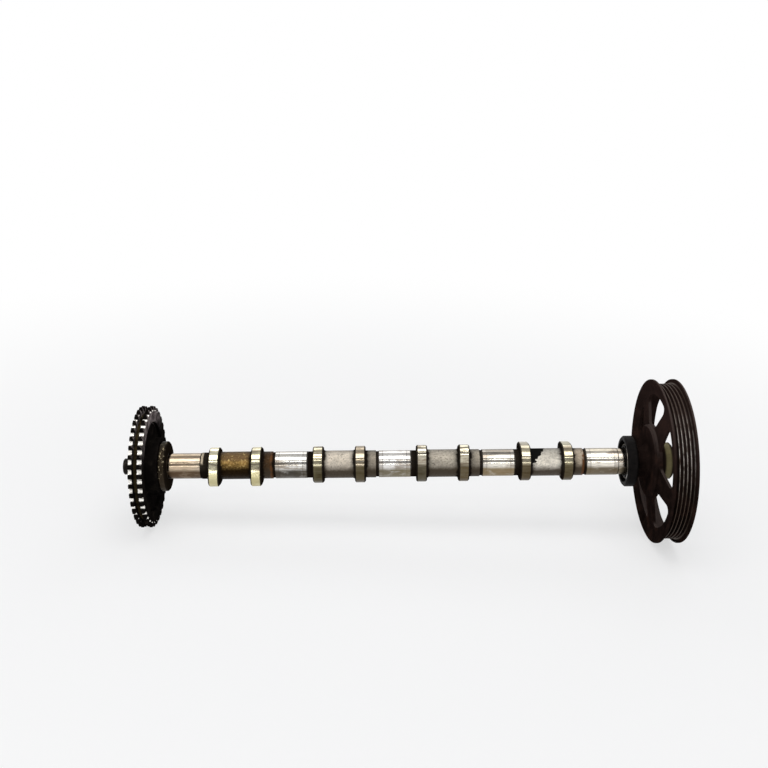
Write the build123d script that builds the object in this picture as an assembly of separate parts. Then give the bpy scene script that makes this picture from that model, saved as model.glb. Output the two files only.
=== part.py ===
from build123d import *
from math import cos, pi, radians, sin, sqrt, tan
import os

# Camshaft of a four-cylinder, sixteen-valve engine, with its duplex chain sprocket at the
# front, an oil seal and a windowed multi-rib belt pulley at the rear.  Millimetres.
# The shaft axis is X, front to rear.  The origin is the centre of the middle journal.

# ---- bays, journals and barrel -------------------------------------------------------
BAY_PITCH = 101.6            # from one bearing to the next
JOURNAL_D = 26.6
JOURNAL_LENGTH = 31.6
JOURNAL_EDGE = 0.6           # chamfer at each end of a journal
FRONT_JOURNAL_D = 25.2
BARREL_D = 27.2              # as-cast shaft between two lobes
COLLAR_D = 26.8              # turned collar in front of each journal
RELIEF_D = 25.0              # grinding relief between collar and journal
RELIEF_WIDTH = 2.6
NECK_D = 26.0                # short neck behind each journal
ROOT_FILLET = 2.2            # cast fillet where the barrel meets a lobe

# ---- lobes ---------------------------------------------------------------------------
LOBE_WIDTH = 10.4
LOBE_SPACING = 41.3          # between the two lobes of one cylinder
LOBE_PAIR_SHIFT = -3.7       # pair centre, from the middle of its bay
BASE_RADIUS = 18.0
LOBE_LIFT = 5.5
NOSE_RADIUS = 9.0
FLANK_RADIUS = 70.0
LOBE_EDGE = 1.2
LOBE_ROOT_D = 33.0           # cast boss that a lobe's ground face stands on
FIRST_NOSE_ANGLE = 118.0     # first pair's nose, from +Z towards -Y
BAY_NOSE_TURN = (0.0, 90.0, 270.0, 180.0)   # firing order 1-3-4-2

# ---- front flange and nose -----------------------------------------------------------
FLANGE_D = 49.2
FLANGE_WIDTH = 6.7
FLANGE_EDGE = 1.0
FRONT_JOURNAL_LENGTH = 32.6  # from the flange to the end of the first journal
FLANGE_BACK_X = -222.8       # rear face of the flange
NOSE_D = 26.0                # pilot that centres the sprocket
NOSE_SHORT = 1.0             # nose ends this far inside the sprocket hub
NOSE_EDGE = 0.8

# ---- duplex sprocket -----------------------------------------------------------------
TOOTH_COUNT = 38
CHAIN_PITCH = 9.525
BUSH_SEAT_RADIUS = 3.2
TIP_HEIGHT = 2.15            # tooth tip above the pitch circle
SEAT_HALF_ANGLE = 72.0
FLANK_CURVE = 13.0           # radius of a tooth flank
FLANK_TURN = 24.0            # how far a flank arc runs, past the tip
TOOTH_WIDTH = 4.3
TOOTH_BEVEL = 0.9
TOOTH_BEVEL_HEIGHT = 2.6
ROW_PITCH = 8.25
ROW_GROOVE_DEPTH = 1.6       # groove between the rows, below the tooth roots
RIM_INNER_D = 88.0
RIM_EDGE = 1.0
HUB_EDGE = 1.0
SPROCKET_WEB = 6.0
WEB_FRONT_RECESS = 2.5       # web set back from the front tooth row
SPROCKET_HUB_D = 57.0
SPROCKET_FRONT_HUB_D = 36.0
SPROCKET_FRONT_HUB = 2.4     # front hub stands proud of the front tooth row
HUB_TO_ROW = 7.8             # rear hub face, behind the rear tooth row

# ---- sprocket fixings ----------------------------------------------------------------
FIT_GAP = 0.03               # radial clearance of located fits
BOLT_D = 10.0
BOLT_THREAD_LENGTH = 26.0
BOLT_HOLE_EXTRA = 4.0
BOLT_HEAD_D = 16.0
BOLT_HEAD_HEIGHT = 10.0
BOLT_HEAD_EDGE = 0.8
BOLT_KEY_FLATS = 8.0
BOLT_KEY_DEPTH = 5.0
BOLT_TIP_EDGE = 0.8
WASHER_D = 28.0
WASHER_THICKNESS = 4.8
WASHER_EDGE = 0.6
DOWEL_D = 5.0
DOWEL_LENGTH = 11.0
DOWEL_RADIUS = 19.0          # dowel centre, from the shaft axis
DOWEL_IN_FLANGE = 5.5
DOWEL_EDGE = 0.4

# ---- rear end and oil seal -----------------------------------------------------------
SEAL_LAND_D = 26.0
SEAL_FROM_JOURNAL = 6.5      # rear journal to the seal's front face
SEAL_D = 50.0
SEAL_WIDTH = 10.0
SEAL_EDGE = 1.4
CASE_WALL = 1.2
CASE_COVER = 1.6             # rubber over the steel case
CASE_INNER_D = 39.0
LIP_WALL = 2.2
LIP_GAP = 0.1                # lip to shaft
SPRING_D = 2.0
SPRING_GAP = 0.1
SPRING_INSET = 0.5           # spring centre, behind the lip's front edge

# ---- belt pulley ---------------------------------------------------------------------
PULLEY_FROM_SEAL = 18.0      # seal's rear face to the pulley's front flange
PULLEY_FLANGE_D = 161.2
PULLEY_WIDTH = 23.5
RIB_COUNT = 5
RIB_PITCH = 3.56
RIB_ANGLE = 40.0
RIB_DEPTH = 2.9
RIB_CREST_WIDTH = 0.5
CREST_BELOW_FLANGE = 4.3
RIM_WALL = 2.8               # under the rib grooves
FLANGE_TOP = 2.0             # width of a belt flange at its tip
LIP_EDGE = 0.9               # flat end of the flared lip
LIP_FLARE = 3.6              # depth over which the opening narrows to the rim
LIP_FILLET = 4.0             # where the flared lip runs into the web
PULLEY_WEB = 2.7
WEB_INNER_PROUD = 0.8        # web's front face at the boss, ahead of the front lip
WEB_FILLET = 1.2
BOSS_D = 72.0
BOSS_PROUD = 4.0             # boss stands out in front of the web
BOSS_EDGE = 1.5
HUB_D = 31.0                 # hub in front of the web
HUB_REAR_D = 36.0            # and behind it
HUB_ROOT_FILLET = 3.0
HUB_FROM_SEAL = 1.5
PULLEY_SEAT_D = 22.0
HUB_REAR_DEPTH = 18.5        # hub's rear face, behind the front flange
SHAFT_END_PROUD = 1.0
SHAFT_END_EDGE = 1.0
CENTRE_HOLE_D = 8.0          # turning centre in the shaft's rear end
CENTRE_HOLE_ANGLE = 60.0
CENTRE_PILOT_D = 3.2
CENTRE_PILOT_DEPTH = 9.0
SPOKE_COUNT = 5
SPOKE_INNER_WIDTH = 25.0     # spoke between two windows, at the boss
SPOKE_OUTER_WIDTH = 18.6     # and at the rim
SPOKE_CLOCKING = 28.5        # first spoke, from +Z towards -Y
WINDOW_GAP = 0.5             # window's inner side, from the boss
WINDOW_TO_RIM = 5.0
WINDOW_CORNER = 5.5

# ---- worked-out places ---------------------------------------------------------------
BAY_COUNT = len(BAY_NOSE_TURN)
MIDDLE = BAY_COUNT / 2
FLANGE_FRONT_X = FLANGE_BACK_X - FLANGE_WIDTH
REAR_ROW_X = FLANGE_FRONT_X - HUB_TO_ROW             # rear face of the rear tooth row
FRONT_ROW_X = REAR_ROW_X - TOOTH_WIDTH - ROW_PITCH   # front face of the front tooth row
HUB_FRONT_X = FRONT_ROW_X - SPROCKET_FRONT_HUB
NOSE_X = HUB_FRONT_X + NOSE_SHORT
WASHER_FRONT_X = HUB_FRONT_X - WASHER_THICKNESS
PITCH_RADIUS = CHAIN_PITCH / (2 * sin(pi / TOOTH_COUNT))
TIP_RADIUS = PITCH_RADIUS + TIP_HEIGHT
ROOT_RADIUS = PITCH_RADIUS - BUSH_SEAT_RADIUS
REAR_JOURNAL_END = MIDDLE * BAY_PITCH + JOURNAL_LENGTH / 2
SEAL_X = REAR_JOURNAL_END + SEAL_FROM_JOURNAL
SEAL_BACK_X = SEAL_X + SEAL_WIDTH
PULLEY_X = SEAL_BACK_X + PULLEY_FROM_SEAL
WEB_INNER_X = PULLEY_X - WEB_INNER_PROUD
WEB_OUTER_X = PULLEY_X + LIP_FLARE
BOSS_X = WEB_INNER_X - BOSS_PROUD
HUB_X = SEAL_BACK_X + HUB_FROM_SEAL
HUB_BACK_X = PULLEY_X + HUB_REAR_DEPTH
SHAFT_END_X = HUB_BACK_X + SHAFT_END_PROUD
CREST_RADIUS = PULLEY_FLANGE_D / 2 - CREST_BELOW_FLANGE
RIM_INNER_RADIUS = CREST_RADIUS - RIB_DEPTH - RIM_WALL


def ring(points, fillets={}):
    """Solid of revolution about X from a closed outline of (x, radius) points.

    The fillets give, for each radius, the corners that it rounds.
    """
    face = make_face(Polyline(points, close=True))
    for radius, corners in fillets.items():
        places = {(round(x, 3), round(r, 3)) for x, r in corners}
        face = fillet([v for v in face.vertices() if (round(v.X, 3), round(v.Y, 3)) in places], radius)
    return revolve(face, axis=Axis.X)


def turned(points, fillets={}):
    """Solid bar turned about X, its outline closed along the axis."""
    return ring([(points[0][0], 0.0)] + list(points) + [(points[-1][0], 0.0)], fillets)


def rod(x_start, x_end, diameter):
    """Plain round bar on the shaft axis."""
    return turned([(x_start, diameter / 2), (x_end, diameter / 2)])


def stepped(x_start, x_end, diameter, edge=0.0):
    """Points of one turned step, with a chamfer at each end."""
    r = diameter / 2
    if edge == 0:
        return [(x_start, r), (x_end, r)]
    return [(x_start, r - edge), (x_start + edge, r), (x_end - edge, r), (x_end, r - edge)]


def across_shaft(x):
    """Plane square to the shaft at x, its local Y up and its local X towards -Y."""
    return Plane(origin=(x, 0, 0), x_dir=(0, -1, 0), z_dir=(-1, 0, 0))


# ---- camshaft ------------------------------------------------------------------------
def journal_centre(number):
    return (number - MIDDLE) * BAY_PITCH


def lobe_places():
    """Front face and nose angle of every lobe."""
    places = []
    for bay, turn in enumerate(BAY_NOSE_TURN):
        pair = (journal_centre(bay) + journal_centre(bay + 1)) / 2 + LOBE_PAIR_SHIFT
        for side in (-1, 1):
            places.append((pair + side * LOBE_SPACING / 2 - LOBE_WIDTH / 2, FIRST_NOSE_ANGLE + turn))
    return places


def bay_points(bay):
    """Outline of one bay, from the back of its front journal to its rear journal's end."""
    (first, _), (second, _) = lobe_places()[2 * bay:2 * bay + 2]
    journal_start = journal_centre(bay + 1) - JOURNAL_LENGTH / 2
    points = [(first, NECK_D / 2)]
    points += stepped(first, first + LOBE_WIDTH, LOBE_ROOT_D)
    points += stepped(first + LOBE_WIDTH, second, BARREL_D)
    points += stepped(second, second + LOBE_WIDTH, LOBE_ROOT_D)
    points += stepped(second + LOBE_WIDTH, journal_start - RELIEF_WIDTH, COLLAR_D)
    points += stepped(journal_start - RELIEF_WIDTH, journal_start, RELIEF_D)
    points += stepped(journal_start, journal_start + JOURNAL_LENGTH, JOURNAL_D, JOURNAL_EDGE)
    points.append((journal_start + JOURNAL_LENGTH, NECK_D / 2))
    return points


def barrel_corners():
    """Corners between the as-cast barrel and the lobes, which carry the cast fillets."""
    places = lobe_places()
    xs = [places[i][0] + LOBE_WIDTH for i in range(0, len(places), 2)]
    xs += [places[i][0] for i in range(1, len(places), 2)]
    return [(x, BARREL_D / 2) for x in xs]


def shaft_core():
    """Nose, flange, journals, barrels, seal land and pulley seat as one turned form."""
    front_end = FLANGE_BACK_X + FRONT_JOURNAL_LENGTH
    points = stepped(NOSE_X, FLANGE_FRONT_X, NOSE_D - 2 * FIT_GAP, NOSE_EDGE)[:2]
    points += [(FLANGE_FRONT_X, NOSE_D / 2 - FIT_GAP)]
    points += stepped(FLANGE_FRONT_X, FLANGE_BACK_X, FLANGE_D, FLANGE_EDGE)
    points += [(FLANGE_BACK_X, FRONT_JOURNAL_D / 2), (front_end - JOURNAL_EDGE, FRONT_JOURNAL_D / 2)]
    points += [(front_end, FRONT_JOURNAL_D / 2 - JOURNAL_EDGE), (front_end, NECK_D / 2 - JOURNAL_EDGE)]
    points += [(front_end + JOURNAL_EDGE, NECK_D / 2)]
    for bay in range(BAY_COUNT):
        points += bay_points(bay)
    points += stepped(REAR_JOURNAL_END, HUB_X, SEAL_LAND_D)
    points += [(HUB_X, PULLEY_SEAT_D / 2), (SHAFT_END_X - SHAFT_END_EDGE, PULLEY_SEAT_D / 2)]
    points += [(SHAFT_END_X, PULLEY_SEAT_D / 2 - SHAFT_END_EDGE)]
    return turned(points, {ROOT_FILLET: barrel_corners()})


def lobe_outline():
    """Cam form of four tangent arcs: base circle, two flanks and nose, with the nose up."""
    nose_y = BASE_RADIUS + LOBE_LIFT - NOSE_RADIUS
    base_reach = FLANK_RADIUS - BASE_RADIUS
    nose_reach = FLANK_RADIUS - NOSE_RADIUS
    flank_y = (nose_y**2 + base_reach**2 - nose_reach**2) / (2 * nose_y)
    flank = Vector(-sqrt(base_reach**2 - flank_y**2), flank_y)
    nose = Vector(0, nose_y)
    to_base = (Vector(0, 0) - flank).normalized()
    to_nose = (nose - flank).normalized()
    low = to_base * BASE_RADIUS
    high = nose + to_nose * NOSE_RADIUS
    middle = flank + (to_base + to_nose).normalized() * FLANK_RADIUS
    left_low, left_high, left_middle = (Vector(-p.X, p.Y) for p in (low, high, middle))
    return make_face([
        ThreePointArc(low, middle, high),
        ThreePointArc(high, Vector(0, nose_y + NOSE_RADIUS), left_high),
        ThreePointArc(left_high, left_middle, left_low),
        ThreePointArc(left_low, Vector(0, -BASE_RADIUS), low),
    ])


def lobe(x_front, nose_angle):
    """One lobe with chamfered edges.  Its nose is turned from +Z towards -Y."""
    plane = across_shaft(x_front + LOBE_WIDTH)
    block = extrude(plane * Rot(0, 0, -nose_angle) * lobe_outline(), amount=LOBE_WIDTH)
    rims = block.faces().sort_by(Axis.X)
    return chamfer(rims[0].edges() + rims[-1].edges(), length=LOBE_EDGE)


def dowel_hole(x_start, x_end):
    """Cutter for the dowel, above the shaft axis."""
    plane = across_shaft(x_end)
    hole = plane * Pos(0, DOWEL_RADIUS) * Circle(DOWEL_D / 2 + FIT_GAP)
    return extrude(hole, amount=x_end - x_start)


def centre_hole():
    """Cutter for the turning centre: a cone with a pilot drilling below it."""
    hole, pilot = CENTRE_HOLE_D / 2, CENTRE_PILOT_D / 2
    cone_depth = (hole - pilot) / tan(radians(CENTRE_HOLE_ANGLE / 2))
    return turned([
        (SHAFT_END_X - CENTRE_PILOT_DEPTH, pilot), (SHAFT_END_X - cone_depth, pilot), (SHAFT_END_X, hole),
    ])


def camshaft():
    shaft = shaft_core()
    for x_front, nose_angle in lobe_places():
        shaft += lobe(x_front, nose_angle)
    bolt_tip = WASHER_FRONT_X + BOLT_THREAD_LENGTH
    shaft -= rod(NOSE_X, bolt_tip + BOLT_HOLE_EXTRA, BOLT_D + 2 * FIT_GAP)
    shaft -= centre_hole()
    return shaft - dowel_hole(FLANGE_FRONT_X, FLANGE_FRONT_X + DOWEL_IN_FLANGE)


# ---- sprocket ------------------------------------------------------------------------
def tooth_gap():
    """Space between two teeth: a bush seat that opens out between two curved flanks."""
    seat = Vector(0, PITCH_RADIUS)
    start = radians(90 - SEAT_HALF_ANGLE)        # flank direction at the seat, from radial
    finish = start + radians(FLANK_TURN)
    side = Vector(cos(start), -sin(start))
    seat_end = seat + side * BUSH_SEAT_RADIUS
    centre = seat_end + side * FLANK_CURVE

    def on_flank(angle):
        return centre - Vector(cos(angle), -sin(angle)) * FLANK_CURVE

    right = [seat_end, on_flank((start + finish) / 2), on_flank(finish)]
    left = [Vector(-p.X, p.Y) for p in right]
    return make_face([
        ThreePointArc(left[0], Vector(0, PITCH_RADIUS - BUSH_SEAT_RADIUS), right[0]),
        ThreePointArc(*right),
        Line(right[2], left[2]),
        ThreePointArc(*left),
    ])


def tooth_row(x_front):
    """One row of teeth, its sides bevelled towards the tips."""
    outline = Circle(TIP_RADIUS) - PolarLocations(0, TOOTH_COUNT) * (Rot(0, 0, -90) * tooth_gap())
    row = extrude(across_shaft(x_front + TOOTH_WIDTH) * outline, amount=TOOTH_WIDTH)
    shoulder = TIP_RADIUS - TOOTH_BEVEL_HEIGHT
    bevel = turned([
        (x_front, shoulder), (x_front + TOOTH_BEVEL, TIP_RADIUS),
        (x_front + TOOTH_WIDTH - TOOTH_BEVEL, TIP_RADIUS), (x_front + TOOTH_WIDTH, shoulder),
    ])
    return row & bevel


def sprocket_blank():
    """Hub, web and rim between and inside the tooth rows."""
    rim_outer = ROOT_RADIUS - ROW_GROOVE_DEPTH
    rim_inner = RIM_INNER_D / 2
    web_front = FRONT_ROW_X + WEB_FRONT_RECESS
    web_back = web_front + SPROCKET_WEB
    bore = NOSE_D / 2
    return ring([
        (HUB_FRONT_X, bore), (HUB_FRONT_X, SPROCKET_FRONT_HUB_D / 2),
        (web_front, SPROCKET_FRONT_HUB_D / 2), (web_front, rim_inner),
        (FRONT_ROW_X, rim_inner + RIM_EDGE), (FRONT_ROW_X, rim_outer),
        (REAR_ROW_X, rim_outer), (REAR_ROW_X, rim_inner + RIM_EDGE),
        (REAR_ROW_X - RIM_EDGE, rim_inner), (web_back, rim_inner),
        (web_back, SPROCKET_HUB_D / 2), (FLANGE_FRONT_X - HUB_EDGE, SPROCKET_HUB_D / 2),
        (FLANGE_FRONT_X, SPROCKET_HUB_D / 2 - HUB_EDGE), (FLANGE_FRONT_X, bore),
    ])


def chain_sprocket():
    body = sprocket_blank()
    rim_bore = rod(FRONT_ROW_X, REAR_ROW_X, RIM_INNER_D + 2 * RIM_EDGE)
    for x_front in (FRONT_ROW_X, FRONT_ROW_X + ROW_PITCH):
        body += tooth_row(x_front) - rim_bore
    return body - dowel_hole(FLANGE_FRONT_X - DOWEL_LENGTH + DOWEL_IN_FLANGE, FLANGE_FRONT_X)


def sprocket_dowel():
    plane = across_shaft(FLANGE_FRONT_X + DOWEL_IN_FLANGE)
    pin = extrude(plane * Pos(0, DOWEL_RADIUS) * Circle(DOWEL_D / 2), amount=DOWEL_LENGTH)
    return chamfer(pin.edges().filter_by(GeomType.CIRCLE), length=DOWEL_EDGE)


def sprocket_washer():
    outer, hole = WASHER_D / 2, BOLT_D / 2 + FIT_GAP
    return ring([
        (WASHER_FRONT_X, hole), (WASHER_FRONT_X, outer - WASHER_EDGE),
        (WASHER_FRONT_X + WASHER_EDGE, outer), (HUB_FRONT_X, outer), (HUB_FRONT_X, hole),
    ])


def sprocket_bolt():
    """Socket-head bolt that clamps the sprocket to the flange."""
    head_x = WASHER_FRONT_X - BOLT_HEAD_HEIGHT
    tip_x = WASHER_FRONT_X + BOLT_THREAD_LENGTH
    head, shank = BOLT_HEAD_D / 2, BOLT_D / 2
    body = turned([
        (head_x, head - BOLT_HEAD_EDGE), (head_x + BOLT_HEAD_EDGE, head), (WASHER_FRONT_X, head),
        (WASHER_FRONT_X, shank), (tip_x - BOLT_TIP_EDGE, shank), (tip_x, shank - BOLT_TIP_EDGE),
    ])
    socket = RegularPolygon(BOLT_KEY_FLATS / 2, 6, major_radius=False)
    return body - extrude(across_shaft(head_x + BOLT_KEY_DEPTH) * socket, amount=BOLT_KEY_DEPTH)


# ---- oil seal ------------------------------------------------------------------------
def case_outline():
    """Steel L-section inside the rubber: a cylinder and an inward flange at the rear."""
    outer = SEAL_D / 2 - CASE_COVER
    front, back = SEAL_X + CASE_COVER, SEAL_BACK_X - CASE_COVER
    inner = CASE_INNER_D / 2
    return [
        (front, outer), (back, outer), (back, inner),
        (back - CASE_WALL, inner), (back - CASE_WALL, outer - CASE_WALL), (front, outer - CASE_WALL),
    ]


def seal_case():
    return ring(case_outline())


def seal_rubber():
    """Rubber cover and sprung lip.  The front is open between cover and lip."""
    outer, lip = SEAL_D / 2, SEAL_LAND_D / 2 + LIP_GAP
    cover_in = outer - 2 * CASE_COVER - CASE_WALL
    floor = SEAL_BACK_X - 2 * CASE_COVER - CASE_WALL
    lip_x = SEAL_X + LIP_WALL
    body = ring([
        (SEAL_X, cover_in), (SEAL_X, outer - SEAL_EDGE), (SEAL_X + SEAL_EDGE, outer),
        (SEAL_BACK_X - SEAL_EDGE, outer), (SEAL_BACK_X, outer - SEAL_EDGE),
        (SEAL_BACK_X, lip + LIP_WALL), (floor + LIP_WALL, lip + LIP_WALL / 2),
        (lip_x + LIP_WALL / 2, lip), (lip_x - LIP_WALL / 2, lip + LIP_WALL / 2),
        (lip_x - LIP_WALL / 2, lip + LIP_WALL), (lip_x + LIP_WALL, lip + LIP_WALL),
        (floor, lip + 2 * LIP_WALL), (floor, cover_in),
    ])
    return body - seal_case()


def garter_spring():
    """Coil that presses the lip to the shaft, drawn as its outer ring."""
    tube = SPRING_D / 2
    radius = SEAL_LAND_D / 2 + LIP_GAP + LIP_WALL + tube + SPRING_GAP
    centre = Pos(SEAL_X + LIP_WALL + SPRING_INSET, radius)
    return revolve(centre * Circle(tube), axis=Axis.X)


# ---- belt pulley ---------------------------------------------------------------------
def groove_points():
    """Multi-rib outline of the rim, between the two belt flanges."""
    top = RIB_PITCH - RIB_CREST_WIDTH
    bottom = top - 2 * RIB_DEPTH * tan(radians(RIB_ANGLE / 2))
    centre = PULLEY_X + PULLEY_WIDTH / 2
    points = []
    for rib in range(RIB_COUNT):
        x = centre + (rib - (RIB_COUNT - 1) / 2) * RIB_PITCH
        points += [(x - top / 2, CREST_RADIUS), (x - bottom / 2, CREST_RADIUS - RIB_DEPTH)]
        points += [(x + bottom / 2, CREST_RADIUS - RIB_DEPTH), (x + top / 2, CREST_RADIUS)]
    return points


def pulley_outline():
    """Half section of the pulley: hub, boss, dished web and grooved rim with flared lips."""
    front, back = PULLEY_X, PULLEY_X + PULLEY_WIDTH
    flange = PULLEY_FLANGE_D / 2
    rim, boss, hub, bore = RIM_INNER_RADIUS, BOSS_D / 2, HUB_D / 2, PULLEY_SEAT_D / 2
    rear_hub = HUB_REAR_D / 2
    points = [(HUB_X, bore), (HUB_X, hub - BOSS_EDGE), (HUB_X + BOSS_EDGE, hub), (BOSS_X, hub)]
    points += [(BOSS_X, boss - BOSS_EDGE), (BOSS_X + BOSS_EDGE, boss), (WEB_INNER_X, boss)]
    points += [(WEB_OUTER_X, rim), (front, flange - LIP_EDGE)]
    points += [(front + LIP_EDGE / 2, flange), (front + FLANGE_TOP, flange)]
    points += groove_points()
    points += [(back - FLANGE_TOP, flange), (back - LIP_EDGE / 2, flange), (back, flange - LIP_EDGE)]
    points += [(back - LIP_FLARE, rim), (WEB_OUTER_X + PULLEY_WEB, rim)]
    points += [(WEB_INNER_X + PULLEY_WEB, boss), (WEB_INNER_X + PULLEY_WEB, rear_hub)]
    points += [(HUB_BACK_X - BOSS_EDGE, rear_hub), (HUB_BACK_X, rear_hub - BOSS_EDGE), (HUB_BACK_X, bore)]
    return points


def window():
    """Opening between two spokes, centred above the axis, with rounded corners."""
    inner = BOSS_D / 2 + WINDOW_GAP
    outer = RIM_INNER_RADIUS - WINDOW_TO_RIM
    half = radians(180 / SPOKE_COUNT)
    along, across = Vector(sin(half), cos(half)), Vector(-cos(half), sin(half))
    taper = (SPOKE_INNER_WIDTH - SPOKE_OUTER_WIDTH) / (outer - inner)

    def side(distance):
        spoke_width = SPOKE_INNER_WIDTH - taper * (distance - inner)
        return along * distance + across * spoke_width / 2

    near, far = side(inner / 2), side(2 * outer)
    fan = make_face(Polyline([near, far, Vector(-far.X, far.Y), Vector(-near.X, near.Y)], close=True))
    opening = (fan & Circle(outer)) - Circle(inner)
    return fillet(opening.vertices(), radius=WINDOW_CORNER)


def belt_pulley():
    rim, boss = RIM_INNER_RADIUS, BOSS_D / 2
    web_back = WEB_INNER_X + PULLEY_WEB
    soft = [(WEB_INNER_X, boss), (WEB_OUTER_X + PULLEY_WEB, rim), (web_back, boss)]
    roots = [(web_back, HUB_REAR_D / 2), (BOSS_X, HUB_D / 2)]
    valley = [(WEB_OUTER_X, rim)]
    body = ring(pulley_outline(), {WEB_FILLET: soft, HUB_ROOT_FILLET: roots, LIP_FILLET: valley})
    plane = across_shaft(PULLEY_X + PULLEY_WIDTH)
    for number in range(SPOKE_COUNT):
        turn = SPOKE_CLOCKING + (number + 1 / 2) * 360 / SPOKE_COUNT
        body -= extrude(plane * Rot(0, 0, -turn) * window(), amount=2 * PULLEY_WIDTH)
    return body


# ---- export --------------------------------------------------------------------------
NODES = {
    "camshaft": camshaft,
    "chain_sprocket": chain_sprocket,
    "sprocket_dowel": sprocket_dowel,
    "sprocket_washer": sprocket_washer,
    "sprocket_bolt": sprocket_bolt,
    "seal_case": seal_case,
    "seal_rubber": seal_rubber,
    "garter_spring": garter_spring,
    "belt_pulley": belt_pulley,
}

os.makedirs("parts", exist_ok=True)
for name, make in NODES.items():
    export_step(make(), f"parts/{name}.step")
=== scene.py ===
import math

import bpy
from mathutils import Matrix, Vector


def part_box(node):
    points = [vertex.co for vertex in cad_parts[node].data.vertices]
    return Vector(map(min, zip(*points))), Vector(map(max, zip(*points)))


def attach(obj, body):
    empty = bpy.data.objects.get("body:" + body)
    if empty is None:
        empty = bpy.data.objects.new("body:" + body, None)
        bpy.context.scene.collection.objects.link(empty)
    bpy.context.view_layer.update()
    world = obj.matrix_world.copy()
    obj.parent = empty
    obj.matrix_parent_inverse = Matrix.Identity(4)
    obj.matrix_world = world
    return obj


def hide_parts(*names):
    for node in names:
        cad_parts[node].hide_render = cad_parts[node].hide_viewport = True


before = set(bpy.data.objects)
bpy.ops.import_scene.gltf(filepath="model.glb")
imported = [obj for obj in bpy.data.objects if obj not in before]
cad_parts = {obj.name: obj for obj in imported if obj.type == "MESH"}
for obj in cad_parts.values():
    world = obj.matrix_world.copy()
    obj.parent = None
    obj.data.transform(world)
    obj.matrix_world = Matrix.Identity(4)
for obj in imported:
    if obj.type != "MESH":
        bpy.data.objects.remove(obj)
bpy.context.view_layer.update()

# Lengths are in metres, and angles in degrees apart from the camera's. The shaft lies along X,
# front end towards -X. A turn is an angle round the shaft, from the top towards -Y.

# ---- camera ----------------------------------------------------------------------------
CAMERA_PLACE = (-0.0096, -0.9026, 0.4126)
CAMERA_PITCH = 0.34901        # radians below the horizon
CAMERA_YAW = 0.013314         # radians towards the pulley
CAMERA_ROLL = -0.027918
SHAFT_LEAN = 0.03665          # radians that the shaft rises towards the pulley
LENS = 46.875
SENSOR = 36.0

# ---- floor -----------------------------------------------------------------------------
PULLEY_WIDTH = 0.0235
FLANGE_EDGE = 0.0005          # the pulley touches the floor this far behind its front edge
TOOTH_BEHIND_HUB = 0.0033     # the sprocket touches it this far behind its front face
FLOOR_SIZE = 80.0
FLOOR_GAP = 0.0002
FLOOR_COLOUR = (0.78, 0.78, 0.79)
FLOOR_ROUGHNESS = 0.8
FLOOR_GLOSS = 0.2
FLOOR_WHITE_NEAR = 0.62       # share of plain white in the floor beside the object
FLOOR_WHITE_FROM, FLOOR_WHITE_TO = 0.25, 1.1

# ---- light -----------------------------------------------------------------------------
# Brightness of the studio round the shaft, from the front horizon over the top to the back.
STUDIO = [(0, 1.0), (16, 1.0), (20, 0.40), (58, 0.36), (70, 0.60), (150, 0.72), (180, 0.9)]
EVEN_LIGHT = 0.45
EVEN_LIGHT_COLOUR = (0.95, 0.97, 1.0)
# name, elevation, bearing, distance, size, watts and colour of each lamp
LAMPS = [
    ("upper_strip", 51, 0, 1.9, (2.6, 0.080), 3.6, (1, 1, 0.97)),
    ("lower_strip", 21, 0, 2.1, (2.8, 0.090), 4.2, (1, 1, 0.97)),
    ("overhead_softbox", 78, 0, 1.8, (1.7, 0.9), 13, (1, 0.99, 0.97)),
    ("left_softbox", 34, -68, 2.0, (0.9, 0.9), 3, (0.97, 0.98, 1)),
    ("back_softbox", 40, 170, 2.2, (2.2, 0.9), 10, (0.97, 0.99, 1)),
]

# ---- places on the shaft ---------------------------------------------------------------
BAY_PITCH = 0.1016            # from one bearing to the next
JOURNALS = [(number - 2) * BAY_PITCH for number in range(5)]
JOURNAL_HALF = 0.0158
JOURNAL_LAND = 0.0042         # end of a journal that its bearing doesn't polish
LAND_LINE_HALF = 0.0003       # line where the bearing's edge has run
RELIEF_WIDTH = 0.0026         # groove in front of a journal
NECK_WIDTH = 0.0055           # short neck behind it
FRONT_JOURNAL = (-0.2228, -0.1902)
FRONT_NECK_WIDTH = 0.0085
FIRST_GAP = 0.01              # everything this far behind the front journal belongs to the bays
FLANGE_RADIUS = 0.0240        # only the flange stands out further
LOBE_HALF = 0.0052
LOBE_CORNER = 0.0006          # width of a lobe's broken corner
LOBE_SPACING = 0.0413
LOBE_PAIR_SHIFT = -0.0037     # pair centre, from the middle of its bay
LOBE_SIDES = (-LOBE_SPACING / 2, LOBE_SPACING / 2)
LOBES = [(bay - 1.5) * BAY_PITCH + LOBE_PAIR_SHIFT + side for bay in range(4) for side in LOBE_SIDES]
LOBE_LEAST_RADIUS = 0.0170    # a lobe's ground face is never nearer to the axis
SEAL_LAND_START = 0.2192
SHAFT_REACH = 0.25            # half the length that tints are spread over
EDGE = 0.0003                 # softness of the line between two finishes

# ---- camshaft patterns -----------------------------------------------------------------
# Each pattern: repeats in a metre along x, y and z, then detail, roughness and distortion.
BLOTCHES = ((95, 140, 140), 5.0, 0.6, 0.4)
CLOUDS = ((38, 60, 60), 4.0, 0.55, 0.3)
GRIT = ((620, 700, 700), 3.0, 0.65, 0.0)
PITS = ((430, 520, 520), 2.0, 0.5, 0.0)
RAGS = ((210, 300, 300), 3.0, 0.5, 0.0)
GLINTS = ((420, 260, 260), 4.0, 0.65, 0.0)
# Two patterns are wrapped round the shaft: repeats in a metre along it and in a degree round it,
# then the same three numbers.
SMEAR_REPEATS = (55.0, 0.16)
SMEAR_NOISE = (5.0, 0.62, 0.6)
# Painted reflection lines along the lobes, dark and light.
REFLECTION_LINE_REPEATS = (6.0, 0.42)
REFLECTION_LINE_NOISE = (2.0, 0.5)
DARK_REFLECTION_SEED, BRIGHT_REFLECTION_SEED = -4.0, 7.1
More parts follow.
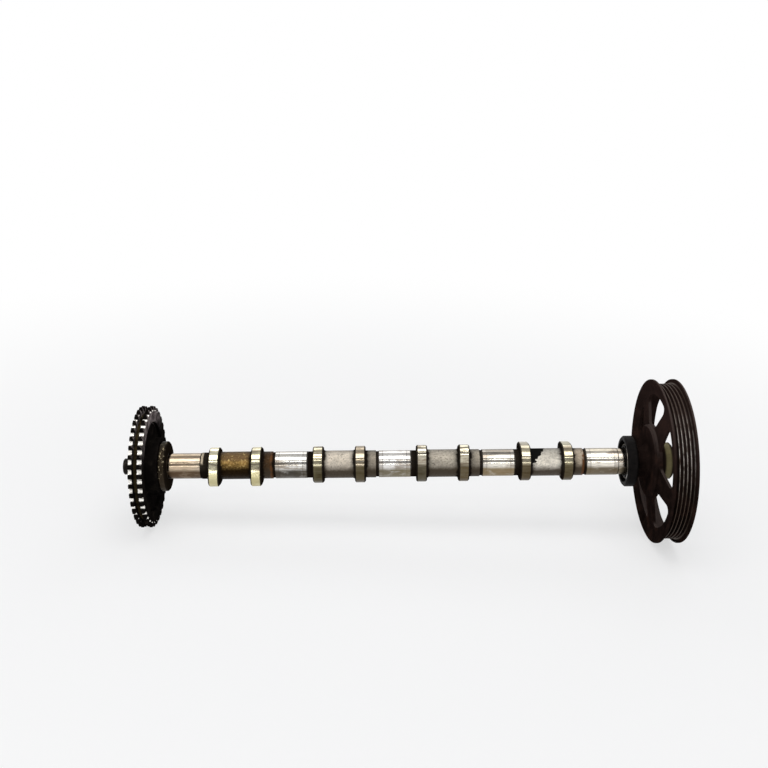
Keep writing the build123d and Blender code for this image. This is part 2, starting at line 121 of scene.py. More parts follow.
# Shares in which two patterns are added up to make one kind of patch.
FILM_SHADE_SHARES = (1.0, 0.6)              # blotches and smears
GRIME_SHARES = (0.6, 0.6)             # blotches and smears
STAIN_SHARES = (0.7, 0.6)             # clouds and smears
CAST_SHARES = (0.7, 0.5)              # grit and blotches

# ---- camshaft wear, painted shade and highlights ---------------------------------------
# Stretches of the shaft or of turns round it, from the first number to the second, that have
# something to themselves. SOFT is how far either side of an end it fades.
GREYED_JOURNAL = (JOURNALS[3] - 0.020, JOURNALS[3] + 0.020)
GOLD_BARREL = (LOBES[0], LOBES[1])
REAR_BARREL = (LOBES[6], LOBES[7])    # cleaner than the others, with a painted highlight half way down
RUST_RING = (-JOURNAL_HALF - 0.0045, -JOURNAL_HALF - 0.0020)  # from the middle of its journal
RUST_RING_SOFT = 0.0008
RUSTY_JOURNALS = (JOURNALS[1], JOURNALS[4])
SMUDGE_START = 0.1325                 # the smudge's side against the lobe
SMUDGE_NEAR_END = 82
SMUDGE_ENDS = (-30, SMUDGE_NEAR_END)
SMUDGE_END_SOFT = 4
SMUDGE_END_RAGS = 70
# Turns on the flange's lit side that carry painted glints.
FLANGE_GLINT = (5, 95)
FLANGE_GLINT_SOFT = 25

# Where something comes in: none of it at the first number and all of it at the second, be they
# places, turns or a pattern's values. Where two more follow, they are what it starts and ends
# at. RAGS is how far a pattern moves such an edge, in metres or degrees.
SIDE_FACE = (0.45, 0.75)              # how squarely a face looks along the shaft
OIL_SHADE_BELOW = (79, 97)                  # the oil film and its painted shade thicken between these turns on the near side
OIL_SHADE_BEHIND = (-100, -130)             # and between these on the far side
FILM_SHADE_PATCHES = (0.55, 0.80, 0.55, 1.0)
LOBE_OIL_SHADE = (70, 84)
LOBE_OIL_SHADE_RAGS = 14
LOBE_OIL_SHADE_FROM = (-0.10, -0.09)        # the first two lobes stay clean below, without painted shade
# Black beside the lobes, in grooves and necks and on faces that look along the shaft: old oil with painted
# shade in the creases. The front neck's black lies only on its lower side, as painted shade.
OIL_SHADE_BESIDE_LOBE = (LOBE_HALF + 0.0028, LOBE_HALF + 0.0008)
OIL_SHADE_BESIDE_LOBE_RAGS = 0.006
FRONT_NECK_SHADE = (52, 66)
SMEAR_SHADE = (0.30, 0.62, 0.62, 1.08)
SHADE_TOP = (30, 12)                  # journals carry painted shade on top
SHADE_TOP_RAGS = 30
GRIME_PATCHES = (0.60, 0.72)
GRIME_ALONG = (-0.11, -0.10, 0.15, 0.75)      # the first two lobes have little grime
# The fourth journal's top, greyer in patches: painted shade.
GREYED_TOP = (48, 38)
GREYED_TOP_RAGS = 20
GREYED_PATCHES = (0.30, 0.60, 0.95, 0.65)
STAIN_PATCHES = (0.64, 0.76)
# Where the painted reflection lines show.
REFLECTION_LINE_EDGES = (0.62, 0.70)
CRUST_EDGE = (0.0026, 0.0010)         # dark crust at the start of the front journal
CRUST_RAGS = 0.008
CAST_PATCHES = (0.42, 0.80)
BARREL_TOP_SHADE = (26, -14, 1.0, 0.48)     # painted shade over a barrel's top
BARREL_FOOT_SHADE = (LOBE_HALF + 0.0020, LOBE_HALF + 0.0085, 0.30, 1.0)     # and painted shade beside a lobe
BARREL_FOOT_SHADE_RAGS = 0.004
BARREL_SHADE = (66, 98)               # and painted shade below
BARREL_SHADE_RAGS = 30
GOLD_TOP = (58, 38)
GOLD_GRAINS = (0.60, 0.70)
# Painted highlight half way down the rear barrel, over painted shade on its top.
REAR_BARREL_HIGHLIGHT = (30, 68, 0.72, 1.30)
PITS_SHOW = (0.60, 0.68)
PITTED_CLOUDS = (0.40, 0.58, 0.1, 0.75)
RUST_PATCHES = (0.35, 0.55)
SMUDGE_EDGE = (5, SMUDGE_NEAR_END, 0.1462, 0.1352)    # it narrows from the top down
SMUDGE_RAGS = 0.010
GLINTS_SHOW = (0.56, 0.66)
GROUND_ROUGHNESS = (0.35, 0.70, 0.11, 0.16)

LOBE_OIL_SHADE_DEPTH = 0.96                 # of the whole film with its painted shade
CAST_DARKEST, CAST_BRIGHTEST = 0.72, 1.22
GOLD_DARKEST, GOLD_BRIGHTEST = 0.35, 1.55
GOLD_SHADE_SOONER = 9                 # degrees
REAR_SHADE_LATER = 8
FILM_ROUGHNESS, DIRT_ROUGHNESS, CAST_ROUGHNESS = 0.32, 0.40, 0.46
CAST_METAL = 0.75
PEBBLES = (0.55, 0.0009)              # strength and depth of the as-cast skin's relief

# ---- camshaft colours ------------------------------------------------------------------
# As-cast skin: place where a stretch of it starts, then its colour.
CAST_TINTS = [
    (-SHAFT_REACH, (0.040, 0.030, 0.019)),      # flange
    (-0.1950, (0.50, 0.42, 0.31)),              # behind the front journal
    (-0.1810, (0.02, 0.016, 0.012)),            # in front of the first lobe
    (LOBES[0], (0.30, 0.185, 0.060)),           # first barrel
    (LOBES[1], (0.060, 0.034, 0.017)),          # first collar
    (JOURNALS[1], (0.05, 0.045, 0.04)),         # first neck
    (LOBES[2], (0.56, 0.50, 0.42)),             # second barrel
    (LOBES[3], (0.27, 0.235, 0.190)),           # second collar
    (LOBES[4], (0.40, 0.36, 0.30)),             # third barrel
    (LOBES[5], (0.30, 0.265, 0.215)),           # third collar
    (LOBES[6], (0.60, 0.56, 0.49)),             # rear barrel
    (LOBES[7], (0.42, 0.35, 0.27)),             # rear collar
]
# One colour for each journal, from front to rear.
JOURNAL_TINTS = [
    (0.53, 0.42, 0.30), (0.82, 0.80, 0.76), (0.84, 0.82, 0.80), (0.86, 0.82, 0.73), (0.92, 0.87, 0.77),
]
# Painted shade on top of each journal: the colour its steel is multiplied by there.
TOP_SHADES = [
    (0.88, 0.86, 0.82), (0.82, 0.81, 0.80), (0.87, 0.86, 0.85), (0.30, 0.275, 0.245), (0.56, 0.53, 0.48),
]
# Colours of the oil film with painted shade on the underside, one for each journal.
FILM_SHADE_TINTS = [
    (0.095, 0.056, 0.030), (0.030, 0.022, 0.014), (0.19, 0.160, 0.100), (0.25, 0.180, 0.090),
    (0.13, 0.100, 0.058),
]
# One colour for each lobe, from front to rear.
LOBE_TINTS = [
    (0.98, 0.92, 0.66), (0.94, 0.88, 0.60), (0.66, 0.60, 0.42), (0.48, 0.40, 0.29),
    (0.64, 0.59, 0.47), (0.72, 0.67, 0.52), (0.58, 0.52, 0.38), (0.62, 0.57, 0.40),
]
# The same oil film with painted shade, one colour for each lobe.
LOBE_FILM_SHADE_TINTS = [
    (0.60, 0.54, 0.31), (0.54, 0.48, 0.26), (0.050, 0.038, 0.014), (0.075, 0.058, 0.028),
    (0.060, 0.048, 0.026), (0.095, 0.068, 0.030), (0.070, 0.048, 0.020), (0.075, 0.056, 0.026),
]
SMUDGE_BLACK = (0.008, 0.008, 0.007)
CRUST_BROWN = (0.035, 0.024, 0.015)
RUST = (0.110, 0.048, 0.020)
GRIME = (0.16, 0.120, 0.065)
# Painted shade for the fourth journal's top.
GREYED_TOP_SHADE = (0.21, 0.193, 0.170)
GOLD_GRAIN = (0.78, 0.60, 0.24)
PIT_DARK = (0.08, 0.068, 0.055)
# Colours of the painted shade under the barrels, and under the first barrel.
BARREL_SHADE_BELOW = (0.056, 0.042, 0.028)
GOLD_BARREL_SHADE_BELOW = (0.007, 0.003, 0.0015)
# Each coat: its colour, then how well it covers what is under it, from 0 to 1.
# Black of old oil and painted shade in the creases.
OIL_AND_SHADE_BLACK = ((0.010, 0.007, 0.005), 0.95)
STAIN = ((0.26, 0.21, 0.16), 0.8)
DULL_STEEL = ((0.42, 0.39, 0.36), 0.45)
LAND_LINE = ((0.10, 0.09, 0.085), 0.6)
# Painted reflection lines on the lobes, dark and light.
DARK_REFLECTION_LINES = ((0.10, 0.080, 0.050), 0.65)
BRIGHT_REFLECTION_LINES = ((1.0, 0.97, 0.88), 0.75)
GOLD_TOP_BROWN = ((0.12, 0.075, 0.040), 0.8)
# Colour of the painted glints on the flange's rim.
FLANGE_HIGHLIGHT = ((0.62, 0.52, 0.34), 0.85)
FILM_SHADE_COVER = 0.94
BARREL_SHADE_COVER = 0.96

# ---- sprocket, pulley and rubber -------------------------------------------------------
DULL_ROUGHNESS = (0.3, 0.7, 0.40, 0.60)       # over a piece's blotches
BRIGHT_ROUGHNESS = 0.30               # where the sprocket is rubbed bright, and on the seal's painted highlight

# ---- sprocket --------------------------------------------------------------------------
TOOTH_ROOT_RADIUS = 0.05445
TOOTH_WEAR = 0.0014           # how far up a tooth the chain has rubbed it bright
TOOTH_SIDE = (TOOTH_ROOT_RADIUS + TOOTH_WEAR, TOOTH_ROOT_RADIUS + TOOTH_WEAR / 2)
GAP_FLOOR = (TOOTH_ROOT_RADIUS - 0.0007, TOOTH_ROOT_RADIUS - 0.0003)
EDGE_ON = (0.5, 0.2)          # faces round the teeth, that don't look along the shaft
CHAIN_RUB = (0.2, 0.4, 0.8, 1.0)
SPROCKET_RIM = (0.0425, 0.0440)
SPROCKET_FACE_FALL = (0.016, 0.060)   # heights between which its oil film thins and painted light from above comes in
SPROCKET_FALL_RAGS = 0.02
DRY_SHARES = (0.5, 0.5)               # grain and blotches
DRY_SHADE = (0.40, 0.62, 0.6, 1.35)
ROW_GROOVE = (0.0490, 0.0532)         # radii of the groove between the tooth rows
GROOVE_PATCHES = (0.3, 0.7)
FRONT_ROW_REAR = (-0.2468, -0.2452)   # part of the front tooth row that stays oily
SPROCKET_BLOTCHES = ((110, 110, 110), 5.0, 0.6, 0.3)
SPROCKET_GRAIN = ((700, 700, 700), 3.0, 0.6, 0.0)
# Each relief: strength and depth.
SPROCKET_GRAIN_RELIEF = (0.35, 0.0004)
SPROCKET_BLOTCH_RELIEF = (0.25, 0.0008)
# Colours over a pattern: its value, then the colour there.
SPROCKET_OIL = [
    (0.30, (0.0035, 0.0028, 0.0026)), (0.55, (0.0075, 0.0062, 0.0055)), (0.75, (0.020, 0.016, 0.013)),
]
# Thinner oil with painted light from above, high on the face.
SPROCKET_DRY_AND_LIT = [(0.30, (0.098, 0.080, 0.079)), (0.70, (0.250, 0.212, 0.208))]
GROOVE_DIRT = (0.050, 0.036, 0.015)
CHAIN_BRIGHT = (0.95, 0.92, 0.86)

# ---- pulley ----------------------------------------------------------------------------
RIB_CREST_RADIUS = 0.0763
RIB_FLANK = (RIB_CREST_RADIUS - 0.0008, RIB_CREST_RADIUS - 0.0001)
RIB_TOP = (RIB_CREST_RADIUS + 0.0012, RIB_CREST_RADIUS + 0.0006)
RIB_STRETCH = (0.2562, 0.2745)
CREST_SHINE = (48, 72)        # turns between which the rib crests carry a painted highlight
CREST_SHINE_SOFT = 30
# How the crests' painted highlight breaks up into sparkle.
CREST_SPARKLE = (0.30, 0.58)
CREST_PATCHES = (0.2, 0.6, 0.35, 0.95)
PULLEY_UPPER = (-0.02, 0.075) # heights between which its coating goes brown and lighter: rust with painted light from above
PULLEY_UPPER_RAGS = 0.05
# Band of the rear hub with a painted olive highlight on bare metal.
REAR_HUB_HIGHLIGHT = (0.2640, 0.2695)
REAR_HUB_HIGHLIGHT_SOFT = 0.0012
REAR_HUB_RADIUS = (0.0195, 0.0185)
REAR_HUB_PATCHES = (0.25, 0.5, 0.5, 1.0)
DUST_AND_LIGHT_RADIUS = (0.028, 0.033)
DUST_AND_LIGHT_SLOPE = (0.35, 0.95)     # dust and painted light lie where a face looks up
BARE_METAL = 0.7
PULLEY_BLOTCHES = ((60, 60, 60), 6.0, 0.62, 0.5)
PULLEY_GRAIN = ((900, 900, 900), 3.0, 0.6, 0.0)
CREST_GRAIN = ((500, 150, 150), 3.0, 0.6, 0.0)
PULLEY_GRAIN_RELIEF = (0.4, 0.0004)
PULLEY_BLOTCH_RELIEF = (0.2, 0.0010)
PULLEY_COAT = [
    (0.30, (0.0055, 0.0036, 0.0032)), (0.52, (0.014, 0.0085, 0.0070)), (0.72, (0.034, 0.0165, 0.0120)),
]
# Brown over the upper part: rust, with painted light from above.
PULLEY_RUST_AND_LIGHT = ((0.036, 0.0215, 0.0185), 0.55)
# Dust with painted light on faces that look up.
PULLEY_DUST_AND_LIGHT = ((0.075, 0.056, 0.050), 0.8)
CREST_DULL = (0.085, 0.060, 0.045)
# Colour of the painted highlight on the rib crests.
CREST_HIGHLIGHT = (0.80, 0.76, 0.70)
# Colour of the painted highlight band on the rear hub.
REAR_HUB_HIGHLIGHT_OLIVE = (0.180, 0.155, 0.078)

# ---- seal and fixings ------------------------------------------------------------------
MOUTH_RADIUS = 0.0206         # of the seal's open front
MOUTH_RING = (MOUTH_RADIUS - 0.0004, MOUTH_RADIUS + 0.0007)
MOUTH_RING_SOFT = 0.0002
MOUTH_FACING = (0.3, 0.6)
MOUTH_HIGHLIGHT = (34, 118)      # turns between which its edge carries a painted highlight
MOUTH_HIGHLIGHT_SOFT = 10
RUBBER_BLOTCHES = ((220, 220, 220), 4.0, 0.6, 0.0)
RUBBER_GRAIN = ((1500, 1500, 1500), 2.0, 0.6, 0.0)
RUBBER_BLACK = [(0.35, (0.0045, 0.0040, 0.0040)), (0.70, (0.0120, 0.0100, 0.0095))]
# Colour and metal of the painted highlight arc at the seal's mouth.
MOUTH_HIGHLIGHT_COLOUR = (0.80, 0.76, 0.74)
MOUTH_HIGHLIGHT_METAL = 0.9
RUBBER_GLOSS = 0.03
RUBBER_RELIEF = (0.2, 0.0003)
FIXING_BLOTCHES = ((260, 260, 260), 5.0, 0.6, 0.0)
FIXING_GRAIN = ((1400, 1400, 1400), 3.0, 0.6, 0.0)
FIXING_STEEL = [
    (0.32, (0.006, 0.005, 0.0045)), (0.55, (0.016, 0.013, 0.011)), (0.75, (0.060, 0.052, 0.043)),
]
FIXING_ROUGHNESS = (0.3, 0.7, 0.34, 0.52)
FIXING_METAL, FIXING_GLOSS = 0.3, 0.05
FIXING_RELIEF = (0.3, 0.0003)
SEAL_STEEL_STREAKS = ((300, 900, 900), 3.0, 0.6, 0.0)
SEAL_STEEL = [(0.3, (0.040, 0.034, 0.028)), (0.7, (0.120, 0.105, 0.090))]
SEAL_STEEL_ROUGHNESS = (0.3, 0.7, 0.22, 0.38)
SEAL_STEEL_RELIEF = (0.1, 0.0002)

# ---- garter spring ---------------------------------------------------------------------
COIL_WIRE = 0.0002            # radius of the spring's wire
COIL_STEPS = 8                # points round one turn
WIRE_SIDES = 5


# ---- camera and tools for finishes ----------------------------------------------------
def camera_axes():
    """Right, down and forward of the camera in the shaft's frame."""
    sin_pitch = math.sin(CAMERA_PITCH)
    cos_pitch = math.cos(CAMERA_PITCH)
    sin_yaw = math.sin(CAMERA_YAW)
    cos_yaw = math.cos(CAMERA_YAW)
    forward = Vector((sin_yaw * cos_pitch, cos_yaw * cos_pitch, -sin_pitch))
    level = Vector((cos_yaw, -sin_yaw, 0))
    plumb = forward.cross(level)
    right = math.cos(CAMERA_ROLL) * level + math.sin(CAMERA_ROLL) * plumb
    down = math.cos(CAMERA_ROLL) * plumb - math.sin(CAMERA_ROLL) * level
    lean = Matrix.Rotation(SHAFT_LEAN, 3, "Y")
    return lean @ right, lean @ down, lean @ forward


def add_camera():
    right, down, forward = camera_axes()
    turn = Matrix((right, -down, -forward)).transposed()
    data = bpy.data.cameras.new("camera")
    data.lens = LENS
    data.sensor_width = SENSOR
    data.clip_end = 100
    camera = bpy.data.objects.new("camera", data)
    camera.matrix_world = Matrix.Translation(CAMERA_PLACE) @ turn.to_4x4()
    bpy.context.scene.collection.objects.link(camera)
    bpy.context.scene.camera = camera


class Tree:
    """A node tree and short ways to add nodes to it."""

    def __init__(self, tree):
        self.nodes = tree.nodes
        self.links = tree.links

    def node(self, kind):
        return self.nodes.new(kind)

    def put(self, value, socket):
        if isinstance(value, bpy.types.NodeSocket):
            self.links.new(value, socket)
        elif isinstance(value, tuple) and socket.type == "RGBA":
            socket.default_value = (*value, 1)
        else:
            socket.default_value = value

    def maths(self, operation, *values):
        node = self.node("ShaderNodeMath")
        node.operation = operation
        for value, socket in zip(values, node.inputs):
            self.put(value, socket)
        return node.outputs[0]

    def times(self, a, b):
        return self.maths("MULTIPLY", a, b)

    def plus(self, a, b):
        return self.maths("ADD", a, b)

    def less(self, a, b):
        return self.maths("SUBTRACT", a, b)

    def over(self, a, b):
        return self.maths("DIVIDE", a, b)

    def vector(self, x, y, z):
        node = self.node("ShaderNodeCombineXYZ")
        for value, socket in zip((x, y, z), node.inputs):
            self.put(value, socket)
        return node.outputs[0]

    def scaled(self, vector, amount):
        """A vector or colour times a number."""
        node = self.node("ShaderNodeVectorMath")
        node.operation = "SCALE"
        self.put(vector, node.inputs[0])
        self.put(amount, node.inputs["Scale"])
        return node.outputs[0]


class Finish(Tree):
    """The node tree of a material or the world, with what a pattern is built from."""

    def __init__(self, owner):
        owner.use_nodes = True
        super().__init__(owner.node_tree)
        self.owner = owner
        self.shader = self.nodes.get("Principled BSDF")
        self.coordinates = None

    def any_of(self, *masks):
        """1 where one of the masks is 1."""
        found = masks[0]
        for mask in masks[1:]:
            found = self.maths("MAXIMUM", found, mask)
        return found

    def all_of(self, *masks):
        """1 where every mask is 1."""
        found = masks[0]
        for mask in masks[1:]:
            found = self.times(found, mask)
        return found

    def not_(self, value):
        return self.less(1.0, value)

    def mix(self, amount, a, b):
        node = self.node("ShaderNodeMix")
        node.data_type = "RGBA"
        self.put(amount, node.inputs["Factor"])
        self.put(a, node.inputs[6])
        self.put(b, node.inputs[7])
        return node.outputs[2]

    def coat(self, under, mask, colour, cover):
        """Lays a colour over what is under it, where the mask is 1."""
        return self.mix(self.times(mask, cover), under, colour)

    def tint(self, colour, shade):
        """One colour times another."""
        node = self.node("ShaderNodeVectorMath")
        node.operation = "MULTIPLY"
        self.put(colour, node.inputs[0])
        self.put(shade, node.inputs[1])
        return node.outputs[0]

    def blend(self, amount, a, b):
        """Number between a and b."""
        node = self.node("ShaderNodeMix")
        self.put(amount, node.inputs[0])
        self.put(a, node.inputs[2])
        self.put(b, node.inputs[3])
        return node.outputs[0]

    def ramp(self, value, low, high, start=0.0, end=1.0):
        """Value's stretch from low to high, laid out smoothly from start to end."""
        node = self.node("ShaderNodeMapRange")
        node.interpolation_type = "SMOOTHSTEP"
        settings = {"Value": value, "From Min": low, "From Max": high, "To Min": start, "To Max": end}
        for name, number in settings.items():
            self.put(number, node.inputs[name])
        return node.outputs[0]

    def colours(self, value, stops, interpolation="LINEAR"):
        node = self.node("ShaderNodeValToRGB")
        node.color_ramp.interpolation = interpolation
        elements = node.color_ramp.elements
        while len(elements) < len(stops):
            elements.new(1.0)
        for element, (place, colour) in zip(elements, stops):
            element.position = place
            element.color = (*colour, 1)
        self.put(value, node.inputs[0])
        return node.outputs[0]

    def split(self, vector):
        node = self.node("ShaderNodeSeparateXYZ")
        self.put(vector, node.inputs[0])
        return node.outputs

    def axes(self):
        """x, y and z of the shaft's frame."""
        if self.coordinates is None:
            self.coordinates = self.split(self.node("ShaderNodeTexCoord").outputs["Object"])
        return self.coordinates

    def normal(self):
        return self.split(self.node("ShaderNodeNewGeometry").outputs["Normal"])

    def stretched(self, x_scale, y_scale, z_scale):
        x, y, z = self.axes()
        return self.vector(self.times(x, x_scale), self.times(y, y_scale), self.times(z, z_scale))

    def noise(self, place, detail, roughness, distortion=0.0):
        node = self.node("ShaderNodeTexNoise")
        self.put(place, node.inputs["Vector"])
        node.inputs["Scale"].default_value = 1.0
        node.inputs["Detail"].default_value = detail
        node.inputs["Roughness"].default_value = roughness
        node.inputs["Distortion"].default_value = distortion
        return node.outputs["Fac"]

    def pattern(self, repeats, detail, roughness, distortion):
        """Noise that repeats so many times in a metre along each axis."""
        return self.noise(self.stretched(*repeats), detail, roughness, distortion)

    def sum_of(self, patterns, shares):
        """Two patterns added up, each times its share."""
        first, second = [self.times(pattern, share) for pattern, share in zip(patterns, shares)]
        return self.plus(first, second)

    def radius(self):
        _, y, z = self.axes()
        return self.maths("SQRT", self.plus(self.times(y, y), self.times(z, z)))

    def turn(self):
        """Angle round the shaft in degrees, from the top towards -Y."""
        _, y, z = self.axes()
        return self.maths("DEGREES", self.maths("ARCTAN2", self.times(y, -1.0), z))

    def facing(self, axis):
        """How far the surface faces along an axis, either way."""
        return self.maths("ABSOLUTE", self.normal()[axis])

    def within(self, value, low, high, soft=EDGE):
        """1 between low and high."""
        middle, half = (low + high) / 2, (high - low) / 2
        away = self.maths("ABSOLUTE", self.less(value, middle))
        return self.ramp(away, half + soft, half - soft)

    def beyond(self, value, limit):
        """1 where the value is over its limit."""
        return self.maths("GREATER_THAN", value, limit)

    def ragged(self, value, pattern, amount):
        """The value, moved either way by a pattern so that its edges aren't straight."""
        return self.plus(value, self.times(self.less(pattern, 0.5), amount))

    def along(self, places, tints, interpolation="LINEAR"):
        """Colour by place along the shaft."""
        share = self.plus(self.times(self.axes()[0], 0.5 / SHAFT_REACH), 0.5)
        stops = [(0.5 + 0.5 * x / SHAFT_REACH, tint) for x, tint in zip(places, tints)]
        return self.colours(share, stops, interpolation)

    def bump(self, *layers):
        """Stacks (height, strength, distance) layers on the surface."""
        normal = None
        for height, strength, distance in layers:
            node = self.node("ShaderNodeBump")
            node.inputs["Strength"].default_value = strength
            node.inputs["Distance"].default_value = distance
            self.put(height, node.inputs["Height"])
            if normal is not None:
                self.links.new(normal, node.inputs["Normal"])
            normal = node.outputs[0]
        self.links.new(normal, self.shader.inputs["Normal"])

    def surface(self, colour, roughness, metallic, gloss=0.5):
        self.put(colour, self.shader.inputs["Base Color"])
        self.put(roughness, self.shader.inputs["Roughness"])
        self.put(metallic, self.shader.inputs["Metallic"])
        self.shader.inputs["Specular IOR Level"].default_value = gloss


def new_finish(name):
    return Finish(bpy.data.materials.new(name))


def seen_rays(g):
    """1 for what the camera, metal and glass see, 0 for the light that falls on things."""
    path = g.node("ShaderNodeLightPath")
    kinds = ("Is Camera Ray", "Is Glossy Ray", "Is Transmission Ray")
    return g.any_of(*[path.outputs[kind] for kind in kinds])


# ---- floor and light -------------------------------------------------------------------
def floor_place():
    """Slope of the floor that pulley and sprocket lie on, and a point on it."""
    pulley_low, pulley_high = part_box("belt_pulley")
    sprocket_low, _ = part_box("chain_sprocket")
    flange_x = pulley_high[0] - PULLEY_WIDTH + FLANGE_EDGE
    tip_x = sprocket_low[0] + TOOTH_BEHIND_HUB
    lean = math.atan2(sprocket_low[2] - pulley_low[2], flange_x - tip_x)
    return lean, Vector((flange_x, 0, pulley_low[2] - FLOOR_GAP))


def floor_paint():
    """Pale matt paint that fades to plain white away from the object."""
    g = new_finish("floor_paint")
    g.surface(FLOOR_COLOUR, FLOOR_ROUGHNESS, 0.0, FLOOR_GLOSS)
    x, y, _ = g.axes()
    away = g.maths("SQRT", g.plus(g.times(x, x), g.times(y, y)))
    white = g.ramp(away, FLOOR_WHITE_FROM, FLOOR_WHITE_TO, FLOOR_WHITE_NEAR, 1.0)
    glow = g.node("ShaderNodeEmission")
    glow.inputs["Color"].default_value = (1, 1, 1, 1)
    mixed = g.node("ShaderNodeMixShader")
    g.put(g.times(white, seen_rays(g)), mixed.inputs[0])
    g.links.new(g.shader.outputs[0], mixed.inputs[1])
    g.links.new(glow.outputs[0], mixed.inputs[2])
    g.links.new(mixed.outputs[0], g.nodes["Material Output"].inputs["Surface"])
    return g.owner


def add_floor():
    lean, touch = floor_place()
    half = FLOOR_SIZE / 2
    corners = [(-half, -half, 0), (half, -half, 0), (half, half, 0), (-half, half, 0)]
    mesh = bpy.data.meshes.new("floor")
    mesh.from_pydata(corners, [], [(0, 1, 2, 3)])
    mesh.transform(Matrix.Translation(touch) @ Matrix.Rotation(lean, 4, "Y"))
    mesh.materials.append(floor_paint())
    floor = bpy.data.objects.new("floor", mesh)
    bpy.context.scene.collection.objects.link(floor)


def add_world():
    """Even light on things; metal sees a white room with a darker front wall above the floor."""
    world = bpy.data.worlds.new("studio")
    g = Finish(world)
    g.nodes.clear()
    out = g.node("ShaderNodeOutputWorld")
    mixed = g.node("ShaderNodeMixShader")
    light = g.node("ShaderNodeBackground")
    g.put(EVEN_LIGHT_COLOUR, light.inputs["Color"])
    light.inputs["Strength"].default_value = EVEN_LIGHT
    seen = g.node("ShaderNodeBackground")
    x, y, z = g.split(g.node("ShaderNodeTexCoord").outputs["Generated"])
    height = g.maths("DEGREES", g.maths("ARCTAN2", z, g.times(y, -1.0)))
    levels = [(angle / 180, (level, level, level)) for angle, level in STUDIO]
    room = g.colours(g.times(height, 1 / 180), levels)
    camera = g.node("ShaderNodeLightPath").outputs["Is Camera Ray"]
    g.put(g.mix(camera, room, (1.0, 1.0, 1.0)), seen.inputs["Color"])
    seen.inputs["Strength"].default_value = 1.0
    g.put(seen_rays(g), mixed.inputs[0])
    g.links.new(light.outputs[0], mixed.inputs[1])
    g.links.new(seen.outputs[0], mixed.inputs[2])
    g.links.new(mixed.outputs[0], out.inputs[0])
    bpy.context.scene.world = world


def add_lamp(name, elevation, bearing, distance, size, power, colour):
    """Rectangular lamp aimed at the shaft."""
    up = math.radians(elevation)
    across = math.radians(bearing)
    level = distance * math.cos(up)
    place = Vector((level * math.sin(across), -level * math.cos(across), distance * math.sin(up)))
    data = bpy.data.lights.new(name, "AREA")
    data.shape = "RECTANGLE"
    data.size, data.size_y = size
    data.energy = power
    data.color = colour
    light = bpy.data.objects.new(name, data)
    light.matrix_world = Matrix.Translation(place) @ (-place).to_track_quat("-Z", "Y").to_matrix().to_4x4()
    bpy.context.scene.collection.objects.link(light)


